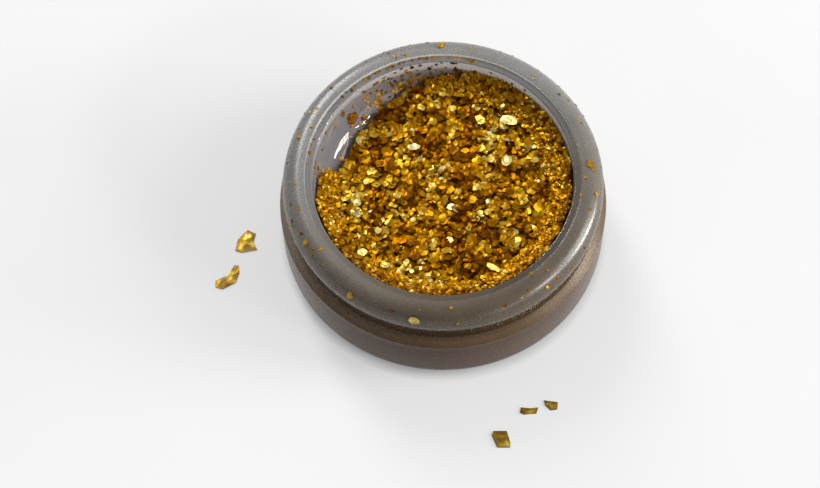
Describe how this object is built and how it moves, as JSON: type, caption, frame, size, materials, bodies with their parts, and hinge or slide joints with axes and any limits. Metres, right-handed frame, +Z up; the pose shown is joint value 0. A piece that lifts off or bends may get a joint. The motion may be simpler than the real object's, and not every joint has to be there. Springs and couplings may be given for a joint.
{
  "type": "sample pot with gold flakes",
  "caption": "Squat round clear plastic sample pot, open at the top, with a rounded rim and a lid groove, filled with loose gold flakes.",
  "frame": {"origin": "centre of the base, in the plane of the foot ring", "axes": "+Z up along the pot's axis, out of its mouth; +X to the right and +Y away from the viewer of the picture"},
  "size_m": [0.03, 0.03, 0.0117],
  "materials": {
    "clear_plastic": "clear moulded plastic, slightly hazy, gloss",
    "gold_bulk": "packed gold flakes, deep orange brown between the flakes",
    "gold_flake": "bright hammered gold, uneven"
  },
  "bodies": {
    "pot": {"pot_body": "clear_plastic", "rim_front_flake": "gold_flake", "rim_front_left_flake": "gold_flake", "rim_left_flake": "gold_flake", "rim_back_flake": "gold_flake", "rim_right_flake": "gold_flake", "wall_clump": "gold_bulk", "wall_specks": "gold_bulk", "rim_specks": "gold_bulk"},
    "gold": {"gold_bed": "gold_bulk", "scattered_flakes": "gold_flake", "upper_right_flake": "gold_flake", "far_flake": "gold_flake", "far_middle_flake": "gold_flake", "far_left_flake": "gold_flake", "outer_right_flake": "gold_flake", "near_right_outer_flake": "gold_flake", "centre_right_flake": "gold_flake", "centre_flake": "gold_flake", "middle_left_flake": "gold_flake", "left_edge_flake": "gold_flake", "lower_left_flake": "gold_flake", "near_left_pair_flake": "gold_flake", "near_left_edge_flake": "gold_flake", "near_centre_flake": "gold_flake", "long_flake": "gold_flake", "mouth_edge_flake": "gold_flake"},
    "largest_flake": {"largest_flake": "gold_flake"},
    "right_flake": {"right_flake": "gold_flake"},
    "left_flake": {"left_flake": "gold_flake"}
  },
  "joints": [
    {"name": "gold_lift", "type": "slide", "parent": "pot", "child": "gold", "axis": [0, 0, 1], "range_m": [0, 0.014]},
    {"name": "largest_lift", "type": "slide", "parent": "gold", "child": "largest_flake", "axis": [0, 0, 1], "range_m": [0, 0.008]},
    {"name": "right_lift", "type": "slide", "parent": "gold", "child": "right_flake", "axis": [0, 0, 1], "range_m": [0, 0.008]},
    {"name": "left_lift", "type": "slide", "parent": "gold", "child": "left_flake", "axis": [0, 0, 1], "range_m": [0, 0.008]}
  ]
}
